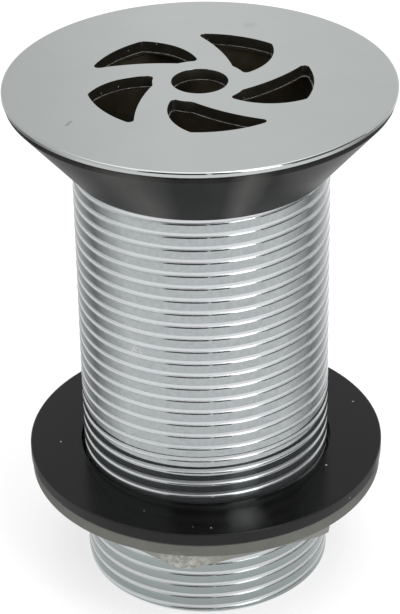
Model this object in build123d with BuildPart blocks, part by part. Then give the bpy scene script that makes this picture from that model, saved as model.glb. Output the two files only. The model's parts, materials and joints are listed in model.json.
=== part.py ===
from build123d import *
import os
from math import cos, pi, radians, sin, tan

# A basin waste: a round flange with a swirl grate on a threaded tail, held in the
# basin between a cone seal above and a washer and flanged nut below.
# Millimetres. The origin is the centre of the tail's lower end, with +Z up to the flange.

# Body
overall_height = 89.5
tail_diameter = 41.6
tail_bore = 37.0
tail_end_chamfer = 0.75
bore_chamfer = 0.5
flange_diameter = 62.7
flange_rim_thickness = 0.9
flange_root_thickness = 2.4
flange_root_chamfer = 0.8
rim_top_fillet = 0.6
rim_bottom_chamfer = 0.2

# Grate: each slot lies inside the outer circle, between the trailing and the leading arc
grate_thickness = 2.1
grate_chamfer = 0.8
centre_hole = 9.0
slot_count = 5
slot_circle = 36.0
hub_diameter = 15.0
trailing_radius = 10.2
trailing_centre = 11.4
trailing_angle = 80.6
leading_radius = 31.3
leading_centre = 25.4
leading_angle = 182.2
slot_corner = 0.55
slot_edge_chamfer = 0.15

# Cone seal
seal_clearance = 0.1
seal_top_diameter = 62.0
seal_edge = 0.85
seal_lip = 0.7
seal_bottom = 76.0

# Back washer
washer_diameter = 60.0
washer_clearance = 0.7
washer_thickness = 2.2
washer_edge_break = 0.2

# Back nut
nut_bottom = 12.9
nut_clearance = 0.2
nut_flange_diameter = 59.5
nut_flange_thickness = 2.35
nut_edge_break = 0.25
hex_across_flats = 45.0
hex_height = 5.75
hex_corner_angle = -98.8
hex_chamfer = 0.8
hex_chamfer_angle = 30
nut_bore_chamfer = 0.6

# Worked out from the sizes above
tail_radius = tail_diameter / 2
bore_radius = tail_bore / 2
flange_radius = flange_diameter / 2
rim_underside = overall_height - flange_rim_thickness
root_underside = overall_height - flange_root_thickness
grate_underside = overall_height - grate_thickness
nut_top = nut_bottom + hex_height + nut_flange_thickness


def polar(radius, angle):
    return (radius * cos(radians(angle)), radius * sin(radians(angle)))


def corner(sketch, x, y):
    return sketch.vertices().sort_by_distance((x, y, 0))[0]


def flange_underside(radius):
    share = (flange_radius - radius) / (flange_radius - tail_radius)
    return rim_underside + share * (root_underside - rim_underside)


os.makedirs("parts", exist_ok=True)

# Body: one turned profile, with the grate cut through its closed end
with BuildPart() as waste_body:
    with BuildSketch(Plane.XZ) as turned:
        with BuildLine():
            Polyline(
                (0, overall_height),
                (flange_radius, overall_height),
                (flange_radius, rim_underside),
                (tail_radius, root_underside),
                (tail_radius, tail_end_chamfer),
                (tail_radius - tail_end_chamfer, 0),
                (bore_radius + bore_chamfer, 0),
                (bore_radius, bore_chamfer),
                (bore_radius, grate_underside),
                (0, grate_underside),
                close=True,
            )
        make_face()
        fillet(corner(turned, flange_radius, overall_height), rim_top_fillet)
        chamfer(corner(turned, flange_radius, rim_underside), rim_bottom_chamfer)
        chamfer(corner(turned, tail_radius, root_underside), flange_root_chamfer)
        chamfer(corner(turned, bore_radius, grate_underside), grate_chamfer)
    revolve(axis=Axis.Z)

    with BuildSketch(Plane.XY, mode=Mode.PRIVATE) as slot:
        with Locations(polar(trailing_centre, trailing_angle)):
            Circle(trailing_radius)
        Circle(slot_circle / 2, mode=Mode.INTERSECT)
        with Locations(polar(leading_centre, leading_angle)):
            Circle(leading_radius, mode=Mode.SUBTRACT)
        Circle(hub_diameter / 2, mode=Mode.SUBTRACT)
        fillet(slot.vertices(), slot_corner)
    with BuildSketch(Plane.XY.offset(overall_height)):
        with PolarLocations(0, slot_count):
            add(slot.sketch)
        Circle(centre_hole / 2)
    extrude(amount=-2 * grate_thickness, mode=Mode.SUBTRACT)
    grate_face = waste_body.faces().sort_by(Axis.Z)[-1]
    chamfer(grate_face.inner_wires().edges(), slot_edge_chamfer)
waste_body.part.label = "waste_body"
export_step(waste_body.part, "parts/waste_body.step")

# Cone seal: its top follows the flange's underside and its bore the tail
seal_bore = tail_radius + seal_clearance
seal_top = seal_top_diameter / 2
seal_relief = seal_bore + flange_root_chamfer
with BuildPart() as flange_seal:
    with BuildSketch(Plane.XZ):
        with BuildLine():
            Polyline(
                (seal_bore, seal_bottom),
                (seal_bore + seal_lip, seal_bottom),
                (seal_top, flange_underside(seal_top) - seal_clearance - seal_edge),
                (seal_top, flange_underside(seal_top) - seal_clearance),
                (seal_relief, flange_underside(seal_relief) - seal_clearance),
                (seal_bore, flange_underside(seal_bore) - seal_clearance - flange_root_chamfer),
                close=True,
            )
        make_face()
    revolve(axis=Axis.Z)
flange_seal.part.label = "flange_seal"
export_step(flange_seal.part, "parts/flange_seal.step")

# Back washer: a flat ring that lies on the nut, loose round the tail
with BuildPart() as back_washer:
    with BuildSketch(Plane.XY.offset(nut_top)):
        Circle(washer_diameter / 2)
        Circle(tail_radius + washer_clearance, mode=Mode.SUBTRACT)
    extrude(amount=washer_thickness)
    chamfer(back_washer.edges().filter_by(GeomType.CIRCLE), washer_edge_break)
back_washer.part.label = "back_washer"
export_step(back_washer.part, "parts/back_washer.step")

# Back nut: a turned flange and boss, with the boss cut to a hexagon; the lower corners are turned off
hex_corner_radius = hex_across_flats / 2 / cos(pi / 6)
hex_top = nut_bottom + hex_height
chamfer_rise = hex_chamfer * tan(radians(hex_chamfer_angle))
with BuildPart() as back_nut:
    with BuildSketch(Plane.XZ):
        with BuildLine():
            Polyline(
                (0, nut_bottom),
                (hex_corner_radius - hex_chamfer, nut_bottom),
                (hex_corner_radius, nut_bottom + chamfer_rise),
                (hex_corner_radius, hex_top),
                (nut_flange_diameter / 2 - nut_edge_break, hex_top),
                (nut_flange_diameter / 2, hex_top + nut_edge_break),
                (nut_flange_diameter / 2, nut_top - nut_edge_break),
                (nut_flange_diameter / 2 - nut_edge_break, nut_top),
                (0, nut_top),
                close=True,
            )
        make_face()
    revolve(axis=Axis.Z)
    with BuildSketch(Plane.XY.offset(nut_bottom)):
        Circle(nut_flange_diameter)
        RegularPolygon(hex_corner_radius, 6, rotation=hex_corner_angle, mode=Mode.SUBTRACT)
    extrude(amount=hex_height, mode=Mode.SUBTRACT)
    with BuildSketch(Plane.XY.offset(nut_bottom)):
        Circle(tail_radius + nut_clearance)
    extrude(amount=nut_top - nut_bottom, mode=Mode.SUBTRACT)
    bore_edges = back_nut.edges().filter_by(GeomType.CIRCLE).sort_by(SortBy.RADIUS)[:2]
    chamfer(bore_edges, nut_bore_chamfer)
back_nut.part.label = "back_nut"
export_step(back_nut.part, "parts/back_nut.step")
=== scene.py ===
# %% [markdown]
# # A chrome basin waste in Blender
# The waste is four pieces: a chromed body with a grate and a threaded tail, a rubber cone
# under its flange, a rubber washer and a cast nut. Each one is turned work, so most of this
# lesson draws half of a section and sweeps it round the axis.
#
# The frame gives the outer sizes of the four pieces, so the lesson starts by asking for
# them. All sizes below are in millimetres, and Blender's own unit is the metre.

# %% Load the frame
import json
from math import cos, hypot, pi, radians, sin, tan
import bpy
from mathutils import Matrix, Vector

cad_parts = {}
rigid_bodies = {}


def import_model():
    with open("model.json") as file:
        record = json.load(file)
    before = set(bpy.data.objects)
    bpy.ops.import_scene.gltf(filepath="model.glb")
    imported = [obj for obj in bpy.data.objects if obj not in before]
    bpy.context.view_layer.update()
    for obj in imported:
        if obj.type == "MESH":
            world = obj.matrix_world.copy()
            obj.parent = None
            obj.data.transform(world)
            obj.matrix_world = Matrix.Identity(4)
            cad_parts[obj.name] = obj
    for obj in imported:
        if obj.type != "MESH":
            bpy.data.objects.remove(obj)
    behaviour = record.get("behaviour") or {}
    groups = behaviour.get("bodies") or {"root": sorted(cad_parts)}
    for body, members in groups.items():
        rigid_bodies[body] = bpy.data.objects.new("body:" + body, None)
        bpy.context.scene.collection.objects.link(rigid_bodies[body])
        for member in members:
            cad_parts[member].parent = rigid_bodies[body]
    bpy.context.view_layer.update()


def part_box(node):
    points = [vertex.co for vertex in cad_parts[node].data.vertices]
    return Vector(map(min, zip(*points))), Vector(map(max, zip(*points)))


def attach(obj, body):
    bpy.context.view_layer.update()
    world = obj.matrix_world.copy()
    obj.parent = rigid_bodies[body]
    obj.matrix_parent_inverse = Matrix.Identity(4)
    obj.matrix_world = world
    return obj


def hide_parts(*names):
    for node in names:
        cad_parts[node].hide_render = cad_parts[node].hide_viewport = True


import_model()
MM = 0.001


def size_of(node):
    """Return a node's outer radius, bottom and top in millimetres."""
    low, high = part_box(node)
    return [round(value / MM, 2) for value in (high.x, low.z, high.z)]


flange_radius, foot, top = size_of("waste_body")
seal_radius, seal_bottom, seal_top = size_of("flange_seal")
washer_radius, washer_bottom, washer_top = size_of("back_washer")
nut_radius, nut_bottom, nut_top = size_of("back_nut")
print("flange radius", flange_radius, "seal", seal_radius, "washer", washer_radius, "nut", nut_radius)

# %% [markdown]
# ## Tools for turned pieces
# A section could be drawn as a curve and bevelled, but a mesh keeps every later edit-mode
# tool at hand. One vertex is extruded from corner to corner, and the Screw modifier sweeps
# the line round Z. With a lift on each turn the same modifier makes a screw thread.

# %% Round the corners of a section
def rounded(corners, steps=5):
    """Return the points of a section whose corners (r, z, rounding) are rounded by arcs."""
    points = []
    for before, here, after in zip(corners[-1:] + corners[:-1], corners, corners[1:] + corners[:1]):
        spot, size = Vector(here[:2]), here[2]
        if size == 0:
            points.append(spot)
            continue
        back = (Vector(before[:2]) - spot).normalized()
        ahead = (Vector(after[:2]) - spot).normalized()
        half = back.angle(ahead) / 2
        centre = spot + (back + ahead).normalized() * size / sin(half)
        start = spot + back * size / tan(half) - centre
        end = spot + ahead * size / tan(half) - centre
        turn_angle = start.angle_signed(end)
        for step in range(steps + 1):
            points.append(centre + Matrix.Rotation(-turn_angle * step / steps, 2) @ start)
    return points


sample = rounded([(0, 0, 1), (10, 0, 1), (10, 10, 1), (0, 10, 1)])
print("a square with four rounded corners has", len(sample), "points")

# %% Select and draw
def deselect_all():
    if bpy.context.object and bpy.context.object.mode != "OBJECT":
        bpy.ops.object.mode_set(mode="OBJECT")
    bpy.ops.object.select_all(action="DESELECT")


def take(piece):
    """Make one piece the only one selected, and the active one."""
    deselect_all()
    bpy.context.view_layer.objects.active = piece
    piece.select_set(True)


def draw_line(name, points):
    """Extrude one vertex from point to point."""
    deselect_all()
    bpy.ops.mesh.primitive_plane_add(size=MM)
    piece = bpy.context.object
    piece.name = piece.data.name = name
    bpy.ops.object.mode_set(mode="EDIT")
    bpy.ops.mesh.select_mode(type="VERT")
    bpy.ops.mesh.select_all(action="SELECT")
    bpy.ops.mesh.merge(type="CENTER")
    bpy.ops.transform.translate(value=Vector(points[0]) * MM)
    for here, there in zip(points, points[1:]):
        step = (Vector(there) - Vector(here)) * MM
        bpy.ops.mesh.extrude_region_move(TRANSFORM_OT_translate={"value": step})
    bpy.ops.object.mode_set(mode="OBJECT")
    return piece


def draw_section(name, points):
    """Draw a section (r, z) in the XZ plane."""
    return draw_line(name, [(r, 0, z) for r, z in points])


deselect_all()
print("selected after deselect_all:", len(bpy.context.selected_objects))

# %% Sweep a section
join_distance = 0.002


def merge_doubles(piece):
    """Merge points that lie on each other and turn all faces outwards."""
    take(piece)
    bpy.ops.object.mode_set(mode="EDIT")
    bpy.ops.mesh.select_all(action="SELECT")
    bpy.ops.mesh.remove_doubles(threshold=join_distance * MM)
    bpy.ops.mesh.normals_make_consistent(inside=False)
    bpy.ops.object.mode_set(mode="OBJECT")


def sweep(piece, steps=160, lift=0.0, turns=1):
    """Turn a section round Z, with a lift in millimetres on each turn."""
    take(piece)
    screw = piece.modifiers.new("sweep", "SCREW")
    screw.axis = "Z"
    screw.screw_offset = lift * MM
    screw.iterations = turns
    screw.steps = screw.render_steps = steps
    screw.use_merge_vertices = False
    bpy.ops.object.modifier_apply(modifier=screw.name)
    merge_doubles(piece)


def turned(name, corners):
    """Make a closed ring from a closed section."""
    points = rounded(corners)
    piece = draw_section(name, points + points[:1])
    sweep(piece)
    print(name, len(piece.data.polygons), "faces")
    return piece


print("join distance:", join_distance, "millimetres")

# %% Trim, cut and smooth
bisect_threshold = 1e-7
corner_weight = 60


def trim(piece, low, high, fill=False):
    """Cut a piece off below one height and above another."""
    take(piece)
    bpy.ops.object.mode_set(mode="EDIT")
    for level, lower in ((low, True), (high, False)):
        bpy.ops.mesh.select_all(action="SELECT")
        bpy.ops.mesh.bisect(
            plane_co=(0, 0, level * MM), plane_no=(0, 0, 1), use_fill=fill,
            clear_inner=lower, clear_outer=not lower, threshold=bisect_threshold,
        )
    bpy.ops.object.mode_set(mode="OBJECT")


def face_outwards(piece):
    """Turn all faces of a closed piece outwards."""
    take(piece)
    bpy.ops.object.mode_set(mode="EDIT")
    bpy.ops.mesh.select_all(action="SELECT")
    bpy.ops.mesh.normals_make_consistent(inside=False)
    bpy.ops.object.mode_set(mode="OBJECT")


def cut(piece, tool):
    """Cut one piece with another by a Boolean and throw the tool away."""
    take(piece)
    boolean = piece.modifiers.new("cut", "BOOLEAN")
    boolean.operation = "DIFFERENCE"
    boolean.solver = "EXACT"
    boolean.object = tool
    bpy.ops.object.modifier_apply(modifier=boolean.name)
    bpy.data.objects.remove(tool)


def smooth(piece, angle=32):
    """Shade smooth up to an angle, with flat faces kept flat beside their rounded edges."""
    take(piece)
    bpy.ops.object.shade_smooth_by_angle(angle=radians(angle))
    weighted = piece.modifiers.new("weighted", "WEIGHTED_NORMAL")
    weighted.keep_sharp = True
    weighted.weight = corner_weight
    bpy.ops.object.modifier_apply(modifier=weighted.name)


print("bisect threshold:", bisect_threshold, "metres")

# %% [markdown]
# ## The threaded tail
# The thread is a 1 1/4 inch pipe thread, 11 turns to the inch, with wide flat crests and
# narrow shallow grooves. It could be bump in a material, but then its outline would be
# smooth. One pitch of its section is drawn and swept upwards, turn on turn. Each groove has
# a soft shoulder below, which catches the lights, and a steep flank above. The tail is made
# too long and then bisected to length, which leaves an open ring at each end.

# %% Section of the thread
inch, turns_per_inch = 25.4, 11
crest_radius, pitch = 20.8, inch / turns_per_inch
groove_depth, groove_width, crown = 0.25, 0.86, 0.03
shoulder, lower_edge, steep_flank = 0.44, 0.06, 0.05
crown_shares = (0, 0.35, 0.7, 1)

half_groove = groove_width / 2
half_crest = pitch / 2 - half_groove
root_radius = crest_radius - groove_depth
crest = [
    (crest_radius - crown * share ** 2, half_groove + half_crest * (1 - share))
    for share in crown_shares
]
crest_below = [(r, -z, shoulder if z == half_groove else 0) for r, z in crest]
crest_above = [(r, z, lower_edge if z == half_groove else 0) for r, z in reversed(crest)]
groove = [(root_radius, groove_depth - half_groove, 0), (root_radius, half_groove - steep_flank, 0)]
one_pitch = rounded(crest_below + groove + crest_above)
print("one pitch:", len(one_pitch), "points")

# %% Tail
# The height of one groove at the front sets where the sweep starts
front_groove = 75.42
end_chamfer, tail_top = 0.75, 84.0
tail_end = foot + end_chamfer
tail_turns, tail_steps = 39, 120

thread_start = (front_groove + pitch / 4) % pitch - 2 * pitch
body = draw_section("waste_body_chrome", [(r, z + thread_start) for r, z in one_pitch])
sweep(body, tail_steps, lift=pitch, turns=tail_turns)
trim(body, tail_end, tail_top)
print("tail:", len(body.data.polygons), "faces")

# %% [markdown]
# ## The body's ends
# Each open ring is extruded again and again, and after each extrusion its vertices are
# moved to a new radius and height. The lower ring goes round the end of the tail and up
# the bore; the upper one goes out under the flange, round the rim and over the top. Two
# separate lathe shapes could be joined to the thread instead, but their rings would have to
# meet its points, and an extruded ring always does.

# %% Tools for open rings
ring_tolerance = 0.01


def select_points(piece, edges):
    """Select some edges of a piece and the points at their ends, and nothing else."""
    ends = {i for edge in edges for i in edge.vertices}
    chosen = {edge.index for edge in edges}
    for edge in piece.data.edges:
        edge.select = edge.index in chosen
    for point in piece.data.vertices:
        point.select = point.index in ends
    bpy.ops.object.mode_set(mode="EDIT")


def select_ring(piece, level):
    """Select the open edges at one height."""
    take(piece)
    bpy.ops.object.mode_set(mode="EDIT")
    bpy.ops.mesh.select_mode(type="EDGE")
    bpy.ops.mesh.select_all(action="DESELECT")
    bpy.ops.mesh.select_non_manifold(extend=False)
    bpy.ops.object.mode_set(mode="OBJECT")
    points = piece.data.vertices
    select_points(piece, [
        edge for edge in piece.data.edges
        if edge.select and all(abs(points[i].co.z / MM - level) < ring_tolerance for i in edge.vertices)
    ])


def extrude_ring(piece, radius, level):
    """Extrude the selected ring and set its radius and height."""
    bpy.ops.mesh.extrude_region_move()
    bpy.ops.object.mode_set(mode="OBJECT")
    for point in piece.data.vertices:
        if point.select:
            flat = Vector((point.co.x, point.co.y)).normalized() * radius * MM
            point.co = (flat.x, flat.y, level * MM)
    bpy.ops.object.mode_set(mode="EDIT")


print("ring tolerance:", ring_tolerance, "millimetres")

# %% Foot and bore
bore_radius, bore_chamfer = 18.5, 0.5
grate_thickness, grate_chamfer = 2.1, 0.8
grate_underside = top - grate_thickness

select_ring(body, tail_end)
for radius, level in (
    (crest_radius - end_chamfer, foot),
    (bore_radius + bore_chamfer, foot),
    (bore_radius, foot + bore_chamfer),
    (bore_radius, grate_underside - grate_chamfer),
    (bore_radius - grate_chamfer, grate_underside),
):
    extrude_ring(body, radius, level)
bpy.ops.mesh.edge_face_add()
print("bore closed at", grate_underside)

# %% Flange
rim_thickness, root_thickness, root_chamfer = 0.9, 2.4, 0.8
rim_top_round, rim_bottom_round, top_start = 0.38, 0.2, 24.0
plain_neck = 0.6
rim_underside, root_underside = top - rim_thickness, top - root_thickness
underside_slope = (rim_underside - root_underside) / (flange_radius - crest_radius)

rim = rounded([
    (crest_radius + root_chamfer, root_underside + root_chamfer * underside_slope, 0),
    (flange_radius, rim_underside, rim_bottom_round),
    (flange_radius, top, rim_top_round),
    (top_start, top, 0),
], steps=8)
neck = [(crest_radius, tail_top + plain_neck), (crest_radius, root_underside - root_chamfer)]
select_ring(body, tail_top)
for radius, level in neck + [tuple(point) for point in rim[:-1]]:
    extrude_ring(body, radius, level)
bpy.ops.mesh.edge_face_add()
face_outwards(body)
print("body:", len(body.data.polygons), "faces")

# %% [markdown]
# ## The swirl grate
# Five leaf-shaped slots turn about a round hole. Each slot is what four discs leave between
# them: inside the first two and outside the other two. Its corners are rounded by small
# circles that touch two discs each, and those are found where the discs, made smaller or
# larger by the rounding, meet. A Boolean of four cylinders and a bevel would do the same,
# but the formula gives an even outline with no slivers.

# %% Circles and arcs
def meet(first, second):
    """Return the two points where two circles (centre, radius) cross."""
    gap = second[0] - first[0]
    along = (gap.length_squared + first[1] ** 2 - second[1] ** 2) / 2 / gap.length
    aside = (first[1] ** 2 - along ** 2) ** 0.5
    unit = gap.normalized()
    return [first[0] + unit * along + unit.orthogonal() * side * aside for side in (1, -1)]


def arc(centre, start, end, steps):
    """Return points on the shorter arc from start to end, without its end."""
    spoke = start - centre
    angle = spoke.angle_signed(end - centre)
    return [centre + Matrix.Rotation(-angle * step / steps, 2) @ spoke for step in range(steps)]


def polar(reach, angle):
    return Vector((reach * cos(radians(angle)), reach * sin(radians(angle))))


print("a quarter turn of a circle ends at", [round(c, 3) for c in polar(1, 90)])

# %% Outline of a slot
slot_reach, hub_radius = 18.0, 7.5
trailing_radius, trailing_centre = 10.2, polar(11.4, 80.6)
leading_radius, leading_centre = 31.3, polar(25.4, 182.2)
slot_corner = 0.75
side_steps, corner_steps = 36, 8


def slot_outline(narrower):
    """Return the outline of one slot, made narrower all round by some millimetres."""
    discs = [
        (polar(0, 0), slot_reach - narrower, 1),
        (trailing_centre, trailing_radius - narrower, 1),
        (polar(0, 0), hub_radius + narrower, -1),
        (leading_centre, leading_radius + narrower, -1),
    ]
    shrunk = [(centre, radius - inside * slot_corner, inside) for centre, radius, inside in discs]
    rounders = []
    for first, second in zip(shrunk, shrunk[1:] + shrunk[:1]):
        others = [disc for disc in shrunk if disc not in (first, second)]
        rounders += [
            spot for spot in meet(first, second)
            if all((radius - (spot - centre).length) * inside > 0 for centre, radius, inside in others)
        ]
    points = []
    for turn, (centre, radius, _) in enumerate(discs):
        before, after = rounders[turn - 1], rounders[turn]
        next_centre, next_radius = discs[(turn + 1) % len(discs)][:2]
        start = centre + (before - centre).normalized() * radius
        end = centre + (after - centre).normalized() * radius
        resume = next_centre + (after - next_centre).normalized() * next_radius
        points += arc(centre, start, end, side_steps) + arc(after, end, resume, corner_steps)
    return points


print("slot outline:", len(slot_outline(0)), "points")

# %% [markdown]
# ## Cutting the grate
# Each outline is filled and extruded into a cutter. The slots could be cut one by one, but
# here five cutters and a rod for the centre hole are joined, so that one Boolean cuts them
# all. The grate is cut twice: first a little narrow right through, then to size from above,
# which leaves the thin ledge of casting flash that glints at the foot of each slot.

# %% Cut the grate
slot_count = 5
hole_radius, hole_sides = 4.5, 128
ledge_width, ledge_height = 0.12, 87.65
cutter_low, cutter_high = 85.0, 92.0


def rod(radius, low, high, sides):
    """Add an upright cylinder on the axis."""
    deselect_all()
    bpy.ops.mesh.primitive_cylinder_add(
        vertices=sides, radius=radius * MM, depth=(high - low) * MM, location=(0, 0, (low + high) / 2 * MM),
    )
    bpy.ops.object.transform_apply(location=True, rotation=True, scale=True)
    return bpy.context.object


def grate_cutter(narrower, low, high):
    """Join the slot cutters and a rod for the centre hole."""
    cutters = [rod(hole_radius - narrower, low, high, hole_sides)]
    for turn in range(slot_count):
        spin = Matrix.Rotation(turn * 2 * pi / slot_count, 2)
        cutter = draw_line("slot_cutter", [(*(spin @ point), low) for point in slot_outline(narrower)])
        bpy.ops.object.mode_set(mode="EDIT")
        bpy.ops.mesh.select_all(action="SELECT")
        bpy.ops.mesh.edge_face_add()
        bpy.ops.mesh.extrude_region_move(TRANSFORM_OT_translate={"value": (0, 0, (high - low) * MM)})
        merge_doubles(cutter)
        cutters.append(cutter)
    deselect_all()
    for cutter in cutters:
        cutter.select_set(True)
    bpy.context.view_layer.objects.active = cutters[0]
    bpy.ops.object.join()
    return cutters[0]


cut(body, grate_cutter(ledge_width, cutter_low, cutter_high))
cut(body, grate_cutter(0, ledge_height, cutter_high))
print("grate cut:", len(body.data.polygons), "faces")

# %% [markdown]
# ## Soft edges on the grate
# Plating never leaves a knife edge. A Bevel modifier would round every sharp edge, the
# thread's too, so the edges of the slots on the top face are picked by height and radius.
# They get a small round bevel, which also catches the thin highlights.

# %% Bevel the grate
edge_round, edge_segments, sharp_angle = 0.06, 2, 60

take(body)
bpy.ops.object.mode_set(mode="EDIT")
bpy.ops.mesh.select_mode(type="EDGE")
bpy.ops.mesh.select_all(action="DESELECT")
bpy.ops.mesh.edges_select_sharp(sharpness=radians(sharp_angle))
bpy.ops.object.mode_set(mode="OBJECT")
slot_edges = []
for edge in body.data.edges:
    first, second = (body.data.vertices[i].co for i in edge.vertices)
    at_top = min(first.z, second.z) > (top - ring_tolerance) * MM
    if edge.select and at_top and hypot(*first.xy) < bore_radius * MM:
        slot_edges.append(edge)
print("slot edges:", len(slot_edges))
select_points(body, slot_edges)
bpy.ops.mesh.bevel(offset=edge_round * MM, segments=edge_segments, affect="EDGES")
bpy.ops.object.mode_set(mode="OBJECT")
smooth(body)
print("body done:", len(body.data.polygons), "faces")

# %% [markdown]
# ## Seal and washer
# Both are moulded rubber rings that slip over the tail. A cone with a hole cut through it
# would give their outer shape, but a closed section shows the lip and every rounded edge at
# once, and one sweep makes the ring. The third number of a corner is its rounding.

# %% Seal
seal_bore = crest_radius + 0.1
lip_width, lip_rise, seal_edge = 0.4, 0.1, 0.85
relief_width, relief_drop = 0.85, 1.32
bore_lean, bore_drop = 0.02, 2.21

seal = turned("cone_seal", [
    (seal_bore, seal_bottom, 0.1),
    (seal_bore + lip_width, seal_bottom + lip_rise, 0.3),
    (seal_radius, seal_top - seal_edge, 0.2),
    (seal_radius, seal_top, 0.2),
    (seal_bore + relief_width, seal_top - relief_drop, 0.1),
    (seal_bore + bore_lean, seal_top - bore_drop, 0.1),
])
smooth(seal)

# %% Washer
washer_bore = crest_radius + 0.4

washer = turned("back_washer_ring", [
    (washer_bore, washer_bottom, 0.2),
    (washer_radius, washer_bottom, 0.25),
    (washer_radius, washer_top, 0.25),
    (washer_bore, washer_top, 0.2),
])
smooth(washer)

# %% [markdown]
# ## The flanged nut
# The nut is die cast and then tapped. It could start as a six-sided cylinder, but then the
# round chamfer on its corners would need a cut of its own. So it is turned first, with its
# flange and a round boss, and a ring with a hexagonal hole takes the boss down to six flats.
# Then a screw, swept like the tail, cuts the thread in the bore.

# %% Nut
nut_bore = crest_radius + 0.2
hex_height, across_flats, corner_angle = 5.75, 45.0, -98.8
hex_chamfer, chamfer_rise, nut_edge = 0.8, 0.46, 0.3
blank_radius, blank_bottom, blank_sides = 40.0, 5.0, 48
# The first corner of a cylinder in Blender lies on Y, at 90 degrees
hexagon_reach, hexagon_sides, first_corner = 20.0, 6, 90
hex_top = nut_bottom + hex_height
hex_corner = across_flats / 2 / cos(pi / 6)

nut = turned("flanged_nut", [
    (nut_bore, nut_bottom, 0),
    (hex_corner - hex_chamfer, nut_bottom, 0),
    (hex_corner, nut_bottom + chamfer_rise, 0),
    (hex_corner, hex_top, 0),
    (nut_radius, hex_top, nut_edge),
    (nut_radius, nut_top, nut_edge),
    (nut_bore, nut_top, 0),
])
blank = rod(blank_radius, blank_bottom, hex_top, blank_sides)
hexagon = rod(hex_corner, -hexagon_reach, hexagon_reach, hexagon_sides)
hexagon.data.transform(Matrix.Rotation(radians(corner_angle - first_corner), 4, "Z"))
cut(blank, hexagon)
cut(nut, blank)
print("hexagon cut:", len(nut.data.polygons), "faces")

# %% Tap the nut
tap_core, tap_depth = crest_radius + 0.1, 0.9
tap_foot, tap_tip, tap_round = 0.75, 0.2, 0.1
tap_start, tap_turns, tap_steps = 8.0, 8, 96
overrun_below, overrun_above = 1.4, 1.5
nut_smooth_angle = 25

half_tap = [(tap_core, pitch / 2, 0), (tap_core, tap_foot, 0), (tap_core + tap_depth, tap_tip, tap_round)]
tap_section = rounded([(r, -z, size) for r, z, size in half_tap] + half_tap[::-1], steps=3)
tap = draw_section("tap", [(r, z + tap_start) for r, z in tap_section])
sweep(tap, tap_steps, lift=pitch, turns=tap_turns)
trim(tap, nut_bottom - overrun_below, nut_top + overrun_above, fill=True)
face_outwards(tap)
cut(nut, tap)
smooth(nut, nut_smooth_angle)
print("nut:", len(nut.data.polygons), "faces")

# %% [markdown]
# ## Materials
# A material is a small graph of nodes. Linking nodes one by one hides the idea, so Wire
# stands for one socket of the graph, and arithmetic on a wire adds Math nodes: the recipes
# below read like formulas. Every pattern reads Object coordinates, so it stays on its piece.

# %% Wires
class Wire:
    """A value in a graph."""

    def __init__(self, graph, socket):
        self.graph, self.socket = graph, socket

    def math(self, operation, first, second):
        return self.graph.node("ShaderNodeMath", {"operation": operation}, {0: first, 1: second})

    def __add__(self, other):
        return self.math("ADD", self, other)

    def __sub__(self, other):
        return self.math("SUBTRACT", self, other)

    def __rsub__(self, other):
        return self.math("SUBTRACT", other, self)

    def __mul__(self, other):
        return self.math("MULTIPLY", self, other)

    def __truediv__(self, other):
        return self.math("DIVIDE", self, other)

    def __gt__(self, other):
        return self.math("GREATER_THAN", self, other)

    def __lt__(self, other):
        return self.math("LESS_THAN", self, other)

    __radd__ = __add__
    __rmul__ = __mul__


class Graph:
    """A node tree with one method that adds any node."""

    def __init__(self, tree):
        self.tree = tree

    def node(self, kind, settings=None, inputs=None, output=0):
        made = self.tree.nodes.new(kind)
        for name, value in (settings or {}).items():
            setattr(made, name, value)
        for name, value in (inputs or {}).items():
            self.feed(made.inputs[name], value)
        return Wire(self, made.outputs[output])

    def feed(self, socket, value):
        if isinstance(value, Wire):
            self.tree.links.new(value.socket, socket)
        else:
            socket.default_value = value

    def seen(self):
        """One for what is looked at, mirrored or seen through glass, and nothing for other light."""
        kinds = ("Is Camera Ray", "Is Glossy Ray", "Is Transmission Ray")
        return sum(self.node("ShaderNodeLightPath", output=kind) for kind in kinds)


print("wires add Math nodes")

# %% Finishes
def tone(red, green, blue):
    return (red, green, blue, 1.0)


def grey(level):
    return tone(level, level, level)


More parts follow.
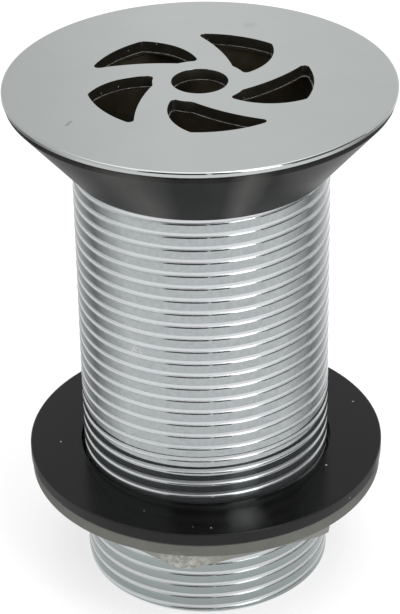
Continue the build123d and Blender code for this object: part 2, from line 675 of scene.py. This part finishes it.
class Finish(Graph):
    """A material on Object coordinates, with the patterns that the recipes use."""

    def __init__(self, name):
        self.material = bpy.data.materials.new(name)
        self.material.use_nodes = True
        super().__init__(self.material.node_tree)
        self.shader = self.tree.nodes["Principled BSDF"]
        self.place = self.node("ShaderNodeTexCoord", output="Object")

    def set(self, **values):
        for name, value in values.items():
            self.feed(self.shader.inputs[name.replace("_", " ")], value)

    def along(self, axis, place=None):
        """The place along one axis, in metres."""
        return self.node("ShaderNodeSeparateXYZ", None, {0: place or self.place}, output=axis)

    def from_axis(self):
        """The distance from the Z axis, in metres."""
        flat = self.node("ShaderNodeVectorMath", {"operation": "MULTIPLY"}, {0: self.place, 1: (1, 1, 0)})
        return self.node("ShaderNodeVectorMath", {"operation": "LENGTH"}, {0: flat}, output="Value")

    def stretched(self, x, y, z):
        """The place with each axis scaled, which draws a pattern out."""
        return self.node("ShaderNodeMapping", None, {"Vector": self.place, "Scale": (x, y, z)})

    def noise(self, size, detail, roughness=0.55, place=None):
        """Noise from 0 to 1, with features about size millimetres wide."""
        return self.node("ShaderNodeTexNoise", None, {
            "Vector": place or self.place, "Scale": 1 / (size * MM), "Detail": detail, "Roughness": roughness,
        })

    def ramp(self, value, low, high, start=0.0, end=1.0):
        """Map a value from low..high to start..end, held at both ends."""
        return self.node("ShaderNodeMapRange", None, {
            "Value": value, "From Min": low, "From Max": high, "To Min": start, "To Max": end,
        })

    def band(self, value, low, middle, high):
        """Rise from low to one in the middle and fall to nothing at high."""
        return self.ramp(value, low, middle) * self.ramp(value, middle, high, 1.0, 0.0)

    def near(self, x, y, z, size):
        """One at a spot, falling to nothing at size millimetres from it."""
        away = self.node("ShaderNodeVectorMath", {"operation": "DISTANCE"}, {
            0: self.place, 1: (x * MM, y * MM, z * MM),
        }, output="Value")
        return self.ramp(away, 0.0, size * MM, 1.0, 0.0)

    def specks(self, spacing, size, share):
        """Dots of size millimetres in a share of the cells of a grid with that spacing."""
        grid = {"Vector": self.place, "Scale": 1 / (spacing * MM)}
        away = self.node("ShaderNodeTexVoronoi", None, grid)
        cell = self.node("ShaderNodeTexVoronoi", None, grid, output="Color")
        return (away < size / spacing) * (cell > 1 - share)

    def mix(self, share, first, second):
        return self.node("ShaderNodeMix", {"data_type": "RGBA"}, {0: share, 6: first, 7: second}, output=2)

    def bump(self, height, distance, strength):
        return self.node("ShaderNodeBump", None, {
            "Height": height, "Distance": distance * MM, "Strength": strength,
        })


print("mid grey is", grey(0.5))

# %% [markdown]
# ## Chrome
# Chrome reflects somewhat under half of the light here. Flange and crests are polished, but
# a polishing wheel doesn't reach into the thread, so its grooves stay satin: the finish asks
# for each point's distance from the axis. The grooves also get a lighter tone, as painted light.
# Handling leaves faint smears. The flange is painted darker towards its left and right sides,
# and the tail below the nut darker and bluer, as painted shade. Flange and thread
# could have a material each, but one finish with masks has no seam between them.

# %% Where the chrome is what
chrome = Finish("chrome_plate")
from_axis, upward, sideways = chrome.from_axis(), chrome.along("Z"), chrome.along("X")
neck_level, groove_edge, groove_fade = 86.0, 0.14, 0.05
on_tail = upward < neck_level * MM
satin_from = (crest_radius - groove_edge) * MM
satin = on_tail * chrome.ramp(from_axis, satin_from, satin_from + groove_fade * MM, 1.0, 0.0)
smear = chrome.noise(9.0, 4.0)
haze = chrome.noise(0.8, 2.0)
grit = chrome.noise(0.3, 2.0)
turning = on_tail * chrome.noise(0.4, 2.0, place=chrome.stretched(0.1, 0.1, 1.0))
print("satin below a radius of", crest_radius - groove_edge)

# %% Tones of the chrome
flange_bright, flange_smear_and_shade_tone = tone(0.46, 0.482, 0.477), tone(0.34, 0.357, 0.353)
crest_bright, crest_dull = tone(0.405, 0.429, 0.436), tone(0.315, 0.334, 0.339)
tail_foot_shade_tone, groove_painted_light_tone = tone(0.3, 0.334, 0.334), tone(0.64, 0.66, 0.67)
# painted shade: the flange is darker towards its left and right sides
shade_from, shade_to = 6 * MM, 32 * MM
painted_shade_left = chrome.ramp(sideways, -shade_to, -shade_from, 1.0, 0.0)
painted_side_shade = painted_shade_left + 0.4 * chrome.ramp(sideways, shade_from, shade_to)
flange_tone = chrome.mix(0.25 * smear + 0.75 * painted_side_shade, flange_bright, flange_smear_and_shade_tone)
mottle = 0.4 * smear + 0.6 * chrome.ramp(haze, 0.3, 0.7)
# painted shade: the tail below the nut is darker and bluer
painted_shade_below_nut = chrome.ramp(upward, 11 * MM, 15 * MM, 1.0, 0.0)
crest_tone = chrome.mix(painted_shade_below_nut, chrome.mix(mottle, crest_bright, crest_dull), tail_foot_shade_tone)
# painted light: the satin grooves get a lighter tone than the crests
plate = chrome.mix(satin, chrome.mix(on_tail, flange_tone, crest_tone), groove_painted_light_tone)
print("chrome tones from", crest_dull[:3], "to", groove_painted_light_tone[:3])

# %% [markdown]
# ## Marks on the chrome
# The flange has a short scratch and a faint blotch, one crest is chipped, and the ledges of
# flash in the slots are rougher than the plate. Marks could be painted on an image, but a
# mask that falls off with distance from a place needs no file. A row of three such spots
# makes the scratch.

# %% Marks
scratch_spots = ((-20.35, -14.75), (-20.1, -14.2), (-19.85, -13.65))
scratch_width, blotch_width, chip_width = 0.42, 1.6, 1.5
mark_tone, chip_tone = tone(0.06, 0.06, 0.055), tone(0.75, 0.74, 0.7)
scratch = sum(chrome.near(x, y, top, scratch_width) for x, y in scratch_spots)
mark = scratch + 0.25 * chrome.near(8.5, 21.0, top, blotch_width)
chip = chrome.near(-11.0, -17.65, 50.5, chip_width) * chrome.ramp(grit, 0.5, 0.6)
flash_low, flash_high, flash_reach = 86.0, 89.0, 18.2
in_slot = (from_axis < flash_reach * MM) * (upward > flash_low * MM) * (upward < flash_high * MM)
flash = in_slot * chrome.ramp(haze, 0.4, 0.6, 0.35, 1.0)
dust = on_tail * chrome.ramp(upward, 25 * MM, 38 * MM, 0.11, 0.04)
chrome.set(
    Base_Color=chrome.mix(chip, chrome.mix(0.6 * mark, plate, mark_tone), chip_tone),
    Metallic=1 - dust - 0.8 * flash,
    Roughness=0.035 + 0.05 * smear * haze + 0.38 * satin + 0.4 * chip + 0.4 * flash,
    Normal=chrome.bump(chrome.noise(4.0, 2.0) + 0.45 * turning, 0.012, 0.25),
)
print("scratch spots:", len(scratch_spots))

# %% [markdown]
# ## The raw bore
# The plating stops inside: the brass there has gone brown, and the walls of the slots are
# darker, with a few painted glints. The faces inside the bore get a second material of the
# same mesh, because a separate lining would be a piece that the real waste lacks.

# %% Bore
bore = Finish("raw_bore")
brass_dark, brass_light = tone(0.09, 0.077, 0.054), tone(0.2, 0.17, 0.12)
wall_dark, wall_light = tone(0.018, 0.016, 0.012), tone(0.062, 0.055, 0.04)
glint_tone = tone(0.55, 0.52, 0.42)
darker_from, darker_to = grate_underside - 0.6, grate_underside + 0.3
tarnish = bore.noise(2.5, 5.0)
brass = bore.mix(tarnish, brass_dark, brass_light)
darker_walls = bore.mix(tarnish, wall_dark, wall_light)
# darker towards the top, over the walls of the slots
toward_slot_walls = bore.ramp(bore.along("Z"), darker_from * MM, darker_to * MM)
# painted glints: a few bright specks on the slot walls
painted_glints = toward_slot_walls * bore.specks(1.0, 0.13, 0.3)
bore.set(
    Base_Color=bore.mix(painted_glints, bore.mix(toward_slot_walls, brass, darker_walls), glint_tone),
    Metallic=0.7,
    Roughness=0.32 + 0.2 * tarnish,
    Normal=bore.bump(bore.noise(0.6, 4.0), 0.05, 0.4),
)
print("soil from", round(darker_from, 2), "to", round(darker_to, 2))

# %% Give the body its two materials
lining_reach, lining_low, lining_high = bore_radius + 0.1, foot + 0.4, top - 0.1
flat_enough = 0.9
body.data.materials.append(chrome.material)
body.data.materials.append(bore.material)
lining = [
    face for face in body.data.polygons
    if hypot(face.center.x, face.center.y) < lining_reach * MM
    and lining_low * MM < face.center.z < lining_high * MM
    and face.normal.z <= flat_enough
]
for face in lining:
    face.material_index = 1
print("bore faces:", len(lining))

# %% [markdown]
# ## Rubber
# Black rubber is never one black. The seal has upright streaks from its mould and two paler
# zones, painted highlights of the bright tail; they follow the angle round the axis, so they
# taper like the cone. The washer is darker and smoother, with a painted reflection of the tail
# at the front, a painted lighter outer edge, and specks of dust. A
# picture of rubber would do for both, but noise and masks need no file and no unwrapping.

# %% Rubber of the seal
cone_rubber = Finish("seal_rubber")
seal_dark, seal_pale_streak_and_highlight = tone(0.014, 0.014, 0.014), tone(0.075, 0.075, 0.071)
streak = cone_rubber.noise(5.0, 4.0, place=cone_rubber.stretched(1.0, 1.0, 0.12))
seal_turn = cone_rubber.along("X") / cone_rubber.from_axis()
# painted highlights: two paler zones round the axis, where the seal mirrors the bright tail
seal_highlights = cone_rubber.band(seal_turn, -0.56, -0.34, -0.14) + cone_rubber.band(seal_turn, 0.12, 0.23, 0.36)
paler = 0.15 * cone_rubber.ramp(streak, 0.4, 0.7) + seal_highlights * cone_rubber.ramp(streak, 0.2, 0.8, 0.6, 1.0)
cone_rubber.set(
    Base_Color=cone_rubber.mix(paler, seal_dark, seal_pale_streak_and_highlight),
    Roughness=0.26 + 0.14 * streak,
    Specular_IOR_Level=0.07,
    Normal=cone_rubber.bump(cone_rubber.noise(0.25, 2.0), 0.02, 0.4),
)
seal.data.materials.append(cone_rubber.material)
print("seal tones:", seal_dark[0], "to", seal_pale_streak_and_highlight[0])

# %% Rubber of the washer
washer_rubber = Finish("washer_rubber")
washer_dark, washer_pale, washer_lit_edge = grey(0.002), grey(0.006), grey(0.016)
tail_reflection_tone, speck_tone = tone(0.042, 0.043, 0.041), tone(0.35, 0.35, 0.33)
bloom = washer_rubber.noise(8.0, 4.0)
washer_reach = washer_rubber.from_axis()
# painted light: the rounded outer edge and the side are lighter than the top
painted_light_at_edge = washer_rubber.ramp(washer_reach, (washer_radius - 0.25) * MM, (washer_radius - 0.05) * MM)
at_front = washer_rubber.along("Y") < 0.0
# painted reflection: a paler patch at the front, where the washer mirrors the tail
reflection_across = washer_rubber.band(washer_rubber.along("X") / washer_reach, 0.1, 0.24, 0.38)
painted_tail_reflection = at_front * reflection_across * washer_rubber.band(washer_reach, 22.5 * MM, 26.0 * MM, 29.5 * MM)
with_painted_reflection = washer_rubber.mix(painted_tail_reflection, washer_rubber.mix(bloom, washer_dark, washer_pale), tail_reflection_tone)
speck = washer_rubber.specks(3.4, 0.187, 0.58)
washer_rubber.set(
    Base_Color=washer_rubber.mix(speck, washer_rubber.mix(painted_light_at_edge, with_painted_reflection, washer_lit_edge), speck_tone),
    Roughness=0.14 + 0.1 * bloom,
    Specular_IOR_Level=0.13,
    Normal=washer_rubber.bump(washer_rubber.noise(0.2, 2.0), 0.02, 0.4),
)
washer.data.materials.append(washer_rubber.material)
print("washer tones:", washer_dark[0], "to", washer_pale[0])

# %% [markdown]
# ## The cast nut
# Die-cast metal has a fine uneven skin, dull and slightly green. The hexagon is painted paler
# than the flange, as painted light, and its front corner is scuffed by a spanner and painted
# bright as a highlight. The skin could be displaced, but at a tenth of a millimetre bump is enough.

# %% Cast metal
cast = Finish("cast_nut")
cast_dark, cast_light = tone(0.12, 0.123, 0.108), tone(0.18, 0.184, 0.164)
hex_lit_tone, scuff_and_highlight_tone = tone(0.28, 0.28, 0.255), tone(0.68, 0.67, 0.63)
skin = cast.noise(1.2, 6.0, 0.7)
stain = cast.noise(7.0, 4.0)
# painted light: the hexagon's faces get a paler tone than the flange
painted_light_on_hex = cast.ramp(cast.along("Z"), (hex_top - 0.35) * MM, (hex_top + 0.15) * MM, 1.0, 0.0)
# a spanner scuff with a painted highlight: the front corner is painted bright
scuff_and_highlight = 0.8 * cast.near(-4.0, -25.2, 14.3, 7.0) * cast.ramp(cast.noise(1.0, 4.0, 0.7), 0.4, 0.62)
casting = cast.mix(painted_light_on_hex, cast.mix(stain, cast_dark, cast_light), hex_lit_tone)
cast.set(
    Base_Color=cast.mix(scuff_and_highlight, casting, scuff_and_highlight_tone),
    Metallic=0.75,
    Roughness=0.42 + 0.2 * skin,
    Normal=cast.bump(skin, 0.12, 0.5),
)
nut.data.materials.append(cast.material)
print("nut tones:", cast_dark[0], "to", hex_lit_tone[0])

# %% [markdown]
# ## Joining the pieces to the frame
# The waste comes apart into three bodies: the body with its seal stays still, the washer
# slides along the tail, and the nut turns on it. Each mesh stands for one node of the frame
# and moves with that node's body. Parenting by hand would do, but the frame knows the joints.

# %% Join the pieces to the frame
for piece, body_name, node, slot_name in (
    (body, "waste", "waste_body", "chrome_plate"),
    (seal, "waste", "flange_seal", "seal_rubber"),
    (washer, "washer", "back_washer", "washer_rubber"),
    (nut, "nut", "back_nut", "cast_nut"),
):
    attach(piece, body_name)
    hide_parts(node)
    print(piece.name, "rides on", body_name)

# %% [markdown]
# ## Floor
# The floor is a large pale sheet. A curved backdrop is the usual way, but here the room is
# white too, so a flat sheet will do. To the camera and in mirrors it glows a little, so that
# it comes out white and still keeps the object's shadow; to other light it is plain paper.
# It lies a hair lower than the tail's end, so that the two faces don't flicker.

# %% Floor
floor_size, floor_drop = 8.0, 0.02
paper_tone, seen_tone, seen_glow = grey(0.8), grey(0.46), grey(0.57)

deselect_all()
bpy.ops.mesh.primitive_plane_add(size=floor_size, location=(0, 0, (foot - floor_drop) * MM))
floor = bpy.context.object
floor.name = "floor"
paper = Finish("floor_paper")
floor_seen = paper.seen()
paper.set(
    Base_Color=paper.mix(floor_seen, paper_tone, seen_tone),
    Emission_Color=paper.mix(floor_seen, grey(0.0), seen_glow),
    Emission_Strength=1.0,
    Roughness=0.9,
    Specular_IOR_Level=0.0,
)
floor.data.materials.append(paper.material)
print("floor:", floor_size, "metres wide")

# %% [markdown]
# ## Lamps
# Chrome shows whatever is around it, so the studio matters as much as the finish. A soft
# panel hangs overhead, and a tall strip at the front right gives that side its highlights.
# Point lamps would show in the chrome as dots, so both are area lamps. The watts here are
# four times radiance times area, so each panel is given by how bright it looks.

# %% Lamps
def around(angle, reach, height):
    """A place at an angle to the right of the camera's side, in degrees and metres."""
    return Vector((reach * sin(radians(angle)), -reach * cos(radians(angle)), height))


def panel(name, place, aim, width, height, radiance):
    """Add an area lamp that faces a place; sizes in metres."""
    deselect_all()
    bpy.ops.object.light_add(type="AREA", location=place)
    lamp = bpy.context.object
    lamp.name = name
    lamp.data.shape = "RECTANGLE"
    lamp.data.size, lamp.data.size_y = width, height
    lamp.data.energy = radiance * 4 * width * height
    lamp.rotation_euler = (Vector(aim) - Vector(place)).to_track_quat("-Z", "Y").to_euler()
    print(name, round(lamp.data.energy, 2), "watts")


panel("overhead", (0.0, 0.0, 0.8), (0, 0, 0), width=0.9, height=0.9, radiance=0.75)
panel("front_right", around(35, 0.7, 0.75), (0, 0, 0.15), width=0.34, height=1.1, radiance=2.6)

# %% [markdown]
# ## Cards and mats
# Photographers of chrome stand dark cards where a white room would wash the shapes out. A
# darker room would dull the chrome all over, but a card darkens only what mirrors it. Two
# cards stand by the camera with a slit between them, and one at the right. Two mats on the
# floor darken the sides of the tail. All of them show in reflections only: they throw no
# shadow and the camera doesn't see them.

# %% Cards
def reflected_only(sheet, name, shade):
    """Give a sheet a dull surface, hide it from all but reflections and return its finish."""
    sheet.name = name
    surface = Finish(name)
    surface.set(Base_Color=grey(shade), Roughness=0.9, Specular_IOR_Level=0.0)
    sheet.data.materials.append(surface.material)
    sheet.visible_camera = sheet.visible_diffuse = sheet.visible_shadow = False
    print(name, "has a shade of", shade)
    return surface


def card(name, angles, reach, height, shade):
    """Stand a card on the floor across the given angles; sizes in metres."""
    deselect_all()
    bpy.ops.mesh.primitive_plane_add(size=1)
    sheet = bpy.context.object
    middle, half = radians(sum(angles) / 2), radians(angles[1] - angles[0]) / 2
    sheet.data.transform(Matrix.Diagonal((2 * reach * tan(half), height, 1, 1)))
    sheet.data.transform(Matrix.Rotation(pi / 2, 4, "X"))
    sheet.data.transform(Matrix.Translation((0, -reach, height / 2)))
    sheet.data.transform(Matrix.Rotation(middle, 4, "Z"))
    reflected_only(sheet, name, shade)


card("card_front_left", (-34, 3.2), reach=0.75, height=1.2, shade=0.03)
card("card_front_right", (5.6, 21), reach=0.75, height=1.2, shade=0.03)
card("card_right", (49, 100), reach=0.7, height=1.2, shade=0.2)

# %% Mats
# The lift is in millimetres and the reach, from inner to outer edge, in metres
mat_lift = 0.1
mat_reach = (0.045, 0.3)
mat_shade = 0.2


def mat(name, angles, density, peak):
    """Lay a sector of a ring on the floor, which fades from its peak to both sides."""
    deselect_all()
    bpy.ops.mesh.primitive_grid_add(x_subdivisions=12, y_subdivisions=6, size=1)
    sheet = bpy.context.object
    for point in sheet.data.vertices:
        angle = angles[0] + (point.co.x + 0.5) * (angles[1] - angles[0])
        reach = mat_reach[0] + (point.co.y + 0.5) * (mat_reach[1] - mat_reach[0])
        point.co = around(angle, reach, mat_lift * MM)
    surface = reflected_only(sheet, name, mat_shade)
    across = surface.along("X", surface.node("ShaderNodeTexCoord", output="UV"))
    surface.set(Alpha=density * surface.band(across, 0.0, peak, 1.0))


mat("mat_left", (-66, -184), density=0.95, peak=0.34)
mat("mat_right", (68, 150), density=0.88, peak=0.44)

# %% [markdown]
# ## World
# The world is the white room that fills the shadows. It lights the object at a plain level,
# and the camera and the chrome see it as pure white. An image of a studio would do this too,
# but two plain backgrounds and a switch need no file.

# %% World
room_light, room_white = grey(0.84), grey(1.0)

world = bpy.data.worlds.new("studio")
bpy.context.scene.world = world
world.use_nodes = True
room = Graph(world.node_tree)
plain = world.node_tree.nodes["Background"]
plain.inputs["Color"].default_value = room_light
lit_by = Wire(room, plain.outputs["Background"])
seen_as = room.node("ShaderNodeBackground", None, {"Color": room_white})
switch = room.node("ShaderNodeMixShader", None, {"Fac": room.seen(), 1: lit_by, 2: seen_as})
room.feed(world.node_tree.nodes["World Output"].inputs["Surface"], switch)
print("room light:", room_light[0])

# %% [markdown]
# ## Camera
# The picture is 400 by 614 pixels. A long lens looks down at 31 degrees, with a slight roll.
# The lens and the distance were fitted together, so that the outlines fall within a few
# pixels of where they are in the photograph. A shorter lens from nearer by would show the
# object as large, but its far end would shrink more.

# %% Camera
elevation, roll, distance = radians(30.756), -0.0183, 0.40033
lens_length, sensor_width, clip_start = 141.21, 36.0, 0.01
target = Vector((-0.000607, 0, 0.048087))

deselect_all()
bpy.ops.object.camera_add()
camera = bpy.context.object
camera.name = "camera"
camera.data.lens = lens_length
camera.data.sensor_width = sensor_width
camera.data.clip_start = clip_start
camera.location = target + distance * Vector((0, -cos(elevation), sin(elevation)))
turn_up = Matrix.Rotation(pi / 2 - elevation, 4, "X") @ Matrix.Rotation(roll, 4, "Z")
camera.rotation_euler = turn_up.to_euler()
bpy.context.scene.camera = camera
bpy.context.scene.view_settings.view_transform = "Standard"
print("camera", round(distance, 3), "metres away")

# %% [markdown]
# ## Last update
# Meshes replaced the nodes of the frame, and the last step updates the view layer.

# %% Update the view layer
bpy.context.view_layer.update()
